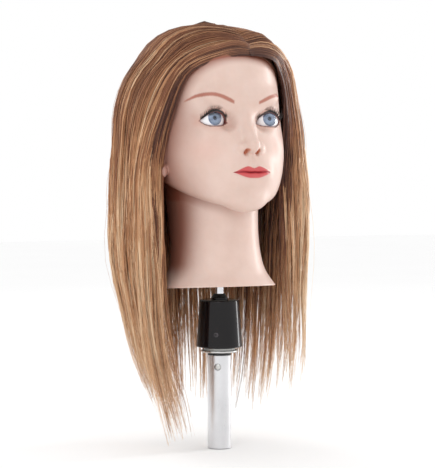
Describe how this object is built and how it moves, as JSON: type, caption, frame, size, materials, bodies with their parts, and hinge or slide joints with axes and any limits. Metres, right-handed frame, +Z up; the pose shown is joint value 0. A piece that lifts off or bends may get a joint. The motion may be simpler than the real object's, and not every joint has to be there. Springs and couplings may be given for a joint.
{
  "type": "mannequin training head",
  "caption": "Life-size hairdressing mannequin head with long hair, lifted on and off a chromed spigot that turns in a swivelling cone on the end of a tube.",
  "frame": {"origin": "centre of the open lower end of the pole tube", "axes": "+Z up the pole, -Y the way the face looks, +X the head's own left"},
  "size_m": [0.2043, 0.2068, 0.4455],
  "materials": {
    "anodised_tube": "brushed along the tube",
    "dark_plastic": "matt",
    "dark_steel": "blackened",
    "zinc_steel": "zinc plated",
    "nylon": "smooth",
    "black_plastic": "gloss",
    "chrome_rod": "bright",
    "white_plastic": "matt",
    "foam": "cellular",
    "vinyl_skin": "satin, with painted brows and lips",
    "hair": "silky fibre, lighter towards the tips",
    "eye_white": "gloss",
    "eye_iris": "printed",
    "eye_clear": "clear acrylic",
    "lashes": "fine fibre"
  },
  "bodies": {
    "pole": {"pole_tube": "anodised_tube", "pole_plug": "dark_plastic", "plug_screws": "dark_steel", "flange_washer": "zinc_steel"},
    "holder": {"thrust_washer": "nylon", "pivot_bolt": "zinc_steel", "pivot_washer": "zinc_steel", "pivot_nut": "zinc_steel", "holder_cone": "black_plastic", "cone_grub_screw": "dark_steel"},
    "spigot": {"spigot_rod": "chrome_rod", "spigot_collar": "black_plastic"},
    "head": {"neck_plate": "white_plastic", "neck_socket": "white_plastic", "foam_core": "foam", "head_skin": "vinyl_skin", "neck_skin": "vinyl_skin", "left_crown_hair": "hair", "right_crown_hair": "hair", "left_eyeball": "eye_white", "left_iris": "eye_iris", "left_cornea": "eye_clear", "left_lashes": "lashes", "left_front_lock": "hair", "left_side_lock": "hair", "left_rear_lock": "hair", "left_back_lock": "hair", "right_eyeball": "eye_white", "right_iris": "eye_iris", "right_cornea": "eye_clear", "right_lashes": "lashes", "right_front_lock": "hair", "right_side_lock": "hair", "right_rear_lock": "hair", "right_back_lock": "hair"}
  },
  "joints": [
    {"name": "holder_swivel", "type": "hinge", "parent": "pole", "child": "holder", "pos_m": [0, 0, 0.1033], "axis": [0, 0, 1], "continuous": true},
    {"name": "spigot_turn", "type": "hinge", "parent": "holder", "child": "spigot", "pos_m": [0, 0, 0.1575], "axis": [0, 0, 1], "continuous": true},
    {"name": "head_lift", "type": "slide", "parent": "spigot", "child": "head", "axis": [0, 0, 1], "range_m": [0, 0.085]}
  ]
}
